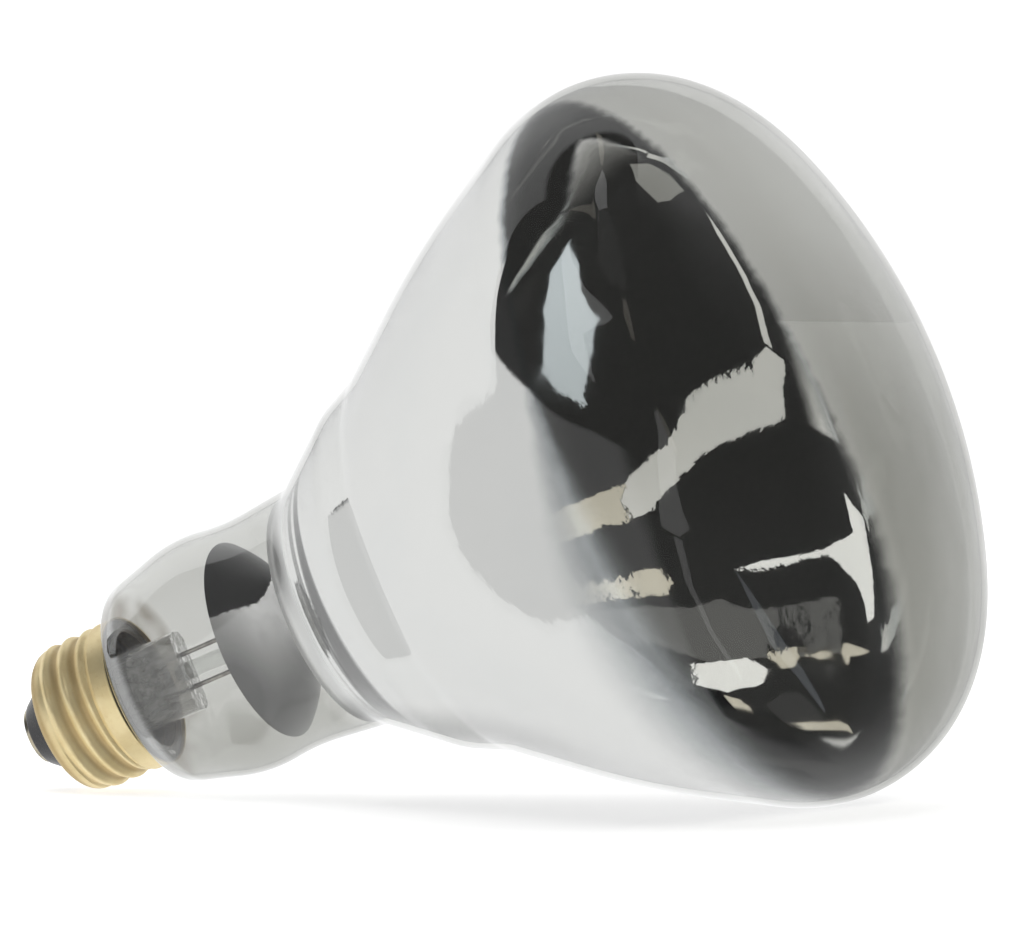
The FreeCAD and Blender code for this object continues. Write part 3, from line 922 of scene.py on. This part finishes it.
@dataclass
class BulbOutline:
    """The bulb's outer half section in mm, as (height, radius)."""

    length: float = 169.0
    radius: float = 63.5
    face_depth: float = 33.4
    rim_rounding: float = 24.0
    corners: Profile = field(
        default_factory=lambda: [
            (14.5, 10.9), (22.6, 10.9), (23.9, 17.4), (38.0, 21.3), (47.52, 20.1),
            (62.0, 21.6), (75.03, 31.19), (82.53, 34.5), (104.03, 50.0),
        ]
    )
    roundings: tuple[float, ...] = (1.2, 3.5, 22.9, 40.0, 5.0, 14.0, 8.0, 150.0)
    spacing: float = 1.6

    def _rim(self) -> Profile:
        """The rim's arc and the face's arc.

        Returns:
            Points from the bowl's back to the middle of the face.
        """
        centre = Vector((self.length - self.face_depth, self.radius - self.rim_rounding))
        bowl = Vector(self.corners[-1])
        to_centre = centre - bowl
        lift = math.asin(self.rim_rounding / to_centre.length)
        start_angle = math.atan2(to_centre.y, to_centre.x) + lift + math.pi / 2
        inset, depth = centre.y, self.face_depth
        face = (depth**2 + inset**2 - self.rim_rounding**2) / (2 * (depth - self.rim_rounding))
        face_centre = Vector((self.length - face, 0.0))
        out = centre - face_centre
        end_angle = math.atan2(out.y, out.x)
        points: Profile = []
        for step in range(33):
            angle = start_angle + (end_angle - start_angle) * step / 32
            points.append(tuple(centre + Vector((math.cos(angle), math.sin(angle))) * self.rim_rounding))
        for step in range(1, 29):
            angle = end_angle * (1 - step / 28)
            points.append(tuple(face_centre + Vector((math.cos(angle), math.sin(angle))) * face))
        points[-1] = (self.length, 0.0)
        return points

    def outer(self) -> Profile:
        """The whole outline from the seal to the middle of the face."""
        rim = self._rim()
        return refined(rounded(self.corners + rim[:1], self.roundings, 8) + rim, self.spacing)

    def inner(self, inset: float) -> Profile:
        """The outline drawn in square to itself.

        Args:
            inset: How far, in mm.

        Returns:
            The drawn-in points, in the same order.
        """
        path = self.outer()
        drawn: Profile = []
        for before, here, after in zip(path[:1] + path, path, path[1:] + path[-1:]):
            along = (Vector(after) - Vector(before)).normalized()
            drawn.append((here[0] + along.y * inset, max(0.0, here[1] - along.x * inset)))
        drawn[-1] = (self.length - inset, 0.0)
        return drawn


@dataclass
class Bulb:
    """The glass envelope and the mirror film on its inside."""

    outline: BulbOutline = field(default_factory=BulbOutline)
    wall: float = 1.0
    film_gap: float = 0.03
    film_back: float = 0.08
    film_start: float = 58.6
    film_end: float = 137.6
    segments: int = 192

    def build(self, axis: LampAxis) -> list[bpy.types.Object]:
        """Make both pieces and dress them.

        Args:
            axis: The lamp's frame.

        Returns:
            Glass and film.
        """
        outer = self.outline.outer()
        section = outer + self.outline.inner(self.wall)[::-1]
        glass = revolved("bulb_glass", section, self.segments, axis.matrix())
        dress(glass, ClearGlassFinish().material(axis))
        glass.data.materials.append(InnerWallFinish().material())
        outside = (len(outer) - 1) * self.segments
        for wall in glass.data.polygons[outside:]:
            wall.material_index = 1
        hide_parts("glass_envelope")
        film = revolved("mirror_film", self._film_section(), self.segments, axis.matrix())
        dress(film, FilmFinish().material(axis))
        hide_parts("reflector_coating")
        return [glass, film]

    def _film_section(self) -> Profile:
        """The film's closed half section, just inside the glass.

        Returns:
            Its outer points, then its inner ones back.
        """
        front = self._banded(self.outline.inner(self.wall + self.film_gap))
        back = self._banded(self.outline.inner(self.wall + self.film_back))
        return front + back[::-1]

    def _banded(self, path: Profile) -> Profile:
        """The part of a path between the film's two edges."""
        return [point for point in path if self.film_start <= point[0] <= self.film_end and point[1] > 15.0]


@dataclass
class FilamentCoil:
    """The coiled tungsten ring on its hooks."""

    height: float = 88.0
    ring_radius: float = 11.0
    coil_radius: float = 0.5
    wire_radius: float = 0.09
    gap_angle: float = 44.0
    lying_turn: float = 1.7
    turns: int = 150
    steps: int = 14
    sides: int = 6

    def _path(self, share: float) -> tuple[Vector, Vector]:
        """A point of the wire and its way off the coil's middle.

        Args:
            share: Share of the wire's length.

        Returns:
            The point and the way.
        """
        sweep = math.radians(90 + self.lying_turn + self.gap_angle / 2 + share * (360 - self.gap_angle))
        spin = 2 * math.pi * self.turns * share
        out = Vector((math.cos(sweep), math.sin(sweep), 0.0))
        way = out * math.cos(spin) + Vector((0.0, 0.0, math.sin(spin)))
        return out * self.ring_radius + Vector((0.0, 0.0, self.height)) + way * self.coil_radius, way

    def build(self, axis: LampAxis) -> bpy.types.Object:
        """Make the coil and dress it.

        Args:
            axis: The lamp's frame.

        Returns:
            The coil.
        """
        count = self.turns * self.steps
        points: list[Vector] = []
        for step in range(count + 1):
            here, way = self._path(step / count)
            ahead = (self._path((step + 0.5) / count)[0] - self._path((step - 0.5) / count)[0]).normalized()
            side = ahead.cross(way).normalized()
            for corner in range(self.sides):
                angle = 2 * math.pi * corner / self.sides
                points.append(here + (way * math.cos(angle) + side * math.sin(angle)) * self.wire_radius)
        faces = []
        for step in range(count):
            for corner in range(self.sides):
                beside = (corner + 1) % self.sides
                low, high = step * self.sides, (step + 1) * self.sides
                faces.append((low + corner, low + beside, high + beside, high + corner))
        last = count * self.sides
        faces.append(tuple(range(self.sides))[::-1])
        faces.append(tuple(range(last, last + self.sides)))
        coil = add_mesh("filament_coil", points, faces, axis.matrix())
        dress(coil, MetalFinish("tungsten", (0.42, 0.40, 0.38), (0.22, 0.21, 0.20), 0.35, 4.0).material(axis))
        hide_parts("filament")
        return coil


@dataclass
class ScrewBase:
    """The screw shell with its insulator, contact, solder and cement."""

    solder: MetalFinish = MetalFinish("solder", (0.60, 0.60, 0.59), (0.36, 0.36, 0.36), 0.3, 1.2, 0.00004)
    contact: MetalFinish = MetalFinish("tinned_brass", (0.70, 0.66, 0.55), (0.50, 0.44, 0.32), 0.28, 3.0)

    def dress(self, nodes: Nodes, axis: LampAxis) -> list[bpy.types.Object]:
        """Give each piece of the base its finish.

        Args:
            nodes: The solids by name.
            axis: The lamp's frame.

        Returns:
            The dressed pieces.
        """
        finishes = {
            "screw_shell": BrassFinish(),
            "base_insulator": DarkGlassFinish(),
            "centre_contact": self.contact,
            "centre_solder": self.solder,
            "side_solder": self.solder,
            "basing_cement": CementFinish(),
        }
        for name, finish in finishes.items():
            dress(nodes[name], finish.material(axis))
        return [nodes[name] for name in finishes]


@dataclass
class WireMount:
    """The stem in the neck with its wires, cane, hooks and heat shield."""

    nickel: MetalFinish = MetalFinish("nickel_wire", (0.46, 0.44, 0.40), (0.24, 0.225, 0.20), 0.3, 3.0)
    seal: MetalFinish = MetalFinish("seal_wire", (0.62, 0.33, 0.22), (0.40, 0.20, 0.13), 0.35, 3.0)
    copper: MetalFinish = MetalFinish("copper_wire", (0.72, 0.42, 0.28), (0.45, 0.25, 0.16), 0.32, 3.0)
    hook: MetalFinish = MetalFinish("hook_wire", (0.50, 0.49, 0.47), (0.30, 0.29, 0.28), 0.32, 4.0)
    cane: StemGlassFinish = StemGlassFinish("cane_glass", (0.93, 0.94, 0.93), (0.75, 0.75, 0.74), 0.16)

    def dress(self, nodes: Nodes, axis: LampAxis) -> list[bpy.types.Object]:
        """Give each piece of the mount its finish.

        Args:
            nodes: The solids by name.
            axis: The lamp's frame.

        Returns:
            The dressed pieces.
        """
        shared = {
            "glass_stem": StemGlassFinish().material(axis),
            "support_rod": self.cane.material(axis),
            "inner_lead_right": self.nickel.material(axis),
            "seal_wires": self.seal.material(axis),
            "outer_lead_side": self.copper.material(axis),
            "filament_hooks": self.hook.material(axis),
            "heat_shield": ShieldFinish().material(axis),
        }
        shared["exhaust_tube"] = shared["glass_stem"]
        shared["inner_lead_left"] = shared["inner_lead_right"]
        shared["outer_lead_centre"] = shared["outer_lead_side"]
        for name, material in shared.items():
            dress(nodes[name], material)
        return [nodes[name] for name in shared]


def heading(azimuth: float, elevation: float) -> Vector:
    """The way that points at an azimuth, 0 towards -Y and 90 towards +X, and an elevation, in degrees."""
    a, e = math.radians(azimuth), math.radians(elevation)
    return Vector((math.sin(a) * math.cos(e), -math.cos(a) * math.cos(e), math.sin(e)))


@dataclass(frozen=True)
class Card:
    """A studio card that is seen only in reflections, drawn by its corners' headings from the lamp."""

    name: str
    corners: tuple[tuple[float, float], ...]
    finish: CardFinish
    distance: float = 1.6

    def build(self, centre: Vector) -> bpy.types.Object:
        """Hang the card.

        Args:
            centre: The point that the headings start from.

        Returns:
            The card.
        """
        points = [centre + heading(*corner) * self.distance for corner in self.corners]
        made = add_mesh(self.name, points, [tuple(range(len(points)))], Matrix.Identity(4))
        dress(made, self.finish.material(self.name))
        made.visible_camera = False
        made.visible_diffuse = False
        made.visible_shadow = False
        made.visible_transmission = False
        return made


WHITE = CardFinish((1.0, 1.0, 1.0), 1.5)
TWICE = CardFinish((1.0, 1.0, 1.0), 1.6, 2, 2)
PALE = CardFinish((1.0, 1.0, 0.99), 1.15, 1, 3)
COOL = CardFinish((0.84, 0.92, 1.0), 1.25)
BEIGE = CardFinish((1.0, 0.94, 0.80), 1.0)
DUSK = CardFinish((1.0, 1.0, 0.97), 0.42)
CEILING = CardFinish((1.0, 1.0, 1.0), 0.2)

CARDS = (
    Card(
        "strip_light",
        (
            (24, -13), (35, -14), (44, -8), (43, -3), (44, 5), (48, 12), (47, 18),
            (45, 25), (42, 24), (41, 18), (38, 12), (35, 8), (31, -2), (26, -8),
        ),
        PALE,
    ),
    Card("strip_end", ((51, 13), (48, 13), (47, 19), (45, 26), (49, 23)), BEIGE),
    Card(
        "rim_strip",
        ((62, -61), (52, -53), (41, -43), (35, -30), (36, -15), (31, -15), (30, -30), (37, -44), (50, -56)),
        PALE,
    ),
    Card(
        "side_window",
        (
            (114, -45), (108, -42), (90, -34), (79, -26), (72, -21),
            (62, -13), (69, -25), (75, -33), (87, -39), (99, -43),
        ),
        COOL,
    ),
    Card(
        "low_panel",
        ((94, -46), (111, -47), (122, -50), (118, -58), (104, -64), (84, -63), (88, -52)),
        DUSK,
    ),
    Card(
        "star_window",
        (
            (27, 48), (18, 45), (9, 43), (-2, 38), (2, 26), (-12, 30), (-20, 46),
            (-32, 62), (-25, 66), (-14, 60), (-2, 55), (12, 53),
        ),
        WHITE,
    ),
    Card("star_arm", ((114, -42), (114, -14), (93, -16), (93, -30)), TWICE, 1.55),
    Card("beige_patch", ((44, 47), (43, 43), (40, 44), (38, 49), (40, 54), (44, 53)), BEIGE),
    Card(
        "ceiling_panel",
        (
            (46, 56), (36, 60), (29, 58), (24, 62), (18, 63), (13, 75),
            (6, 82), (19, 82), (42, 84), (52, 76), (54, 64),
        ),
        CEILING,
    ),
    Card("skylight", ((57, 82), (19, 81), (-7, 86), (-124, 87), (-169, 83), (147, 85)), WHITE),
    Card("high_edge", ((-170, 82), (-160, 80), (-156, 70), (-152, 62), (-160, 66), (-168, 74)), BEIGE),
    Card("high_spot", ((9, 78), (-48, 73), (-10, 83), (-24, 86), (6, 82)), BEIGE),
)


@dataclass
class Studio:
    """White paper, surroundings, cards and camera."""

    floor_size: float = 3.0
    paper_edge: float = -85.0
    white: float = 0.93
    grey: float = 0.72
    front_white: float = 1.0
    dark: float = 0.035
    backdrop: float = 1.05
    behind_glass: Colour = (0.453, 0.453, 0.438)
    aim: tuple[float, float, float] = (0.00397, 0.00476, 0.05428)
    azimuth: float = 22.65
    elevation: float = 2.15
    distance: float = 2.0
    focal_pixels: float = 12000.0
    sensor: float = 36.0
    most_bounces: int = 5
    mirror_bounces: int = 3
    matt_bounces: int = 2

    def build_floor(self) -> bpy.types.Object:
        """Lay the paper, which mirrors don't see.

        Returns:
            The floor.
        """
        half = self.floor_size
        corners = [(-half, -half, 0.0), (half, -half, 0.0), (half, half, 0.0), (-half, half, 0.0)]
        floor = add_mesh("floor", corners, [(0, 1, 2, 3)], Matrix.Translation((0.0, 0.0, -0.0002)))
        dress(floor, FloorFinish().material())
        floor.visible_glossy = False
        return floor

    def build_surroundings(self) -> None:
        """Paint the room that the mirrors show: paper behind and left, a pale table, a dark room above.

        Rays find the room by themselves: a search for its bright places would be slow through so much glass.
        """
        world = bpy.data.worlds.new("studio")
        bpy.context.scene.world = world
        world.use_nodes = True
        world.cycles.sampling_method = "NONE"
        graph = Graph(world.node_tree)
        way = graph.node("ShaderNodeTexCoord", {}, {}).outputs["Generated"]
        parts = graph.node("ShaderNodeSeparateXYZ", {}, {0: way})
        x, y, up = (Value(graph, socket) for socket in parts.outputs)
        turn = graph.math(Operation.ARCTAN2, x, 0 - y) * math.degrees(1.0)
        bent = turn - up.ramp(-0.7, -0.9) * 20.0
        sweep = bent.ramp(self.paper_edge + 0.4, self.paper_edge - 0.4) + turn.ramp(118.0, 172.0)
        sweep = sweep * (1 - up.ramp(0.86, 0.89) * passed(graph))
        front = turn.ramp(-52.0, -38.0)
        near = turn.ramp(20.0, 6.0)
        below = up.ramp(0.14, 0.11)
        table = (front * (self.front_white - self.grey) + self.grey) * near * below
        once = 1 - bounces(graph).ramp(2.4, 2.6) * passed(graph)
        light = (sweep * self.white + (1 - sweep) * table) * once + self.dark
        shown = graph.blend(seen_through(graph), (self.backdrop,) * 3, self.behind_glass)
        glow = graph.node("ShaderNodeBackground", {}, {"Color": rgba((1.0, 1.0, 1.0)), "Strength": light})
        back = graph.node("ShaderNodeBackground", {}, {"Color": shown})
        path = graph.node("ShaderNodeLightPath", {}, {})
        both = graph.mix(Value(graph, path.outputs["Is Camera Ray"]), glow.outputs[0], back.outputs[0])
        graph.node("ShaderNodeOutputWorld", {}, {"Surface": both})

    def build_lights(self) -> None:
        """Hang one wide soft light above the paper."""
        light = bpy.data.lights.new("top_softbox", "AREA")
        light.shape = "DISK"
        light.size = 1.4
        light.energy = 9.0
        made = bpy.data.objects.new("top_softbox", light)
        made.location = (-0.2, 0.1, 1.5)
        made.visible_glossy = False
        made.visible_camera = False
        bpy.context.scene.collection.objects.link(made)

    def build_camera(self) -> None:
        """Stand the camera where the photograph was taken from."""
        data = bpy.data.cameras.new("camera")
        data.sensor_width = self.sensor
        data.lens = self.sensor * self.focal_pixels / PHOTO_WIDTH
        data.clip_end = 20.0
        camera = bpy.data.objects.new("camera", data)
        back = heading(self.azimuth, self.elevation)
        camera.location = Vector(self.aim) + back * self.distance
        camera.rotation_euler = (-back).to_track_quat("-Z", "Y").to_euler()
        bpy.context.scene.collection.objects.link(camera)
        bpy.context.scene.camera = camera

    def limit_bounces(self) -> None:
        """Stop sight lines where more turns add nothing that can be seen."""
        cycles = bpy.context.scene.cycles
        cycles.max_bounces = self.most_bounces
        cycles.glossy_bounces = self.mirror_bounces
        cycles.diffuse_bounces = self.matt_bounces

    def build(self) -> None:
        """Set up the whole studio."""
        self.build_floor()
        self.build_surroundings()
        self.build_lights()
        self.build_camera()
        for card in CARDS:
            card.build(Vector(self.aim))
        self.limit_bounces()
        bpy.context.scene.view_settings.view_transform = "Standard"


def main() -> None:
    """Build every sub-assembly in order and report its pieces."""
    logging.basicConfig(level=logging.INFO, format="%(name)s: %(message)s")
    axis = LampAxis.from_record(frame["record"], COLLAR_HEIGHT)
    nodes: Nodes = frame["nodes"]
    pieces = Bulb().build(axis) + [FilamentCoil().build(axis)]
    for piece in pieces:
        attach(piece, "root")
    pieces += ScrewBase().dress(nodes, axis)
    pieces += WireMount().dress(nodes, axis)
    Studio().build()
    for piece in pieces:
        LOG.info("%s with %d faces", piece.name, len(piece.data.polygons))


if __name__ == "__main__":
    main()
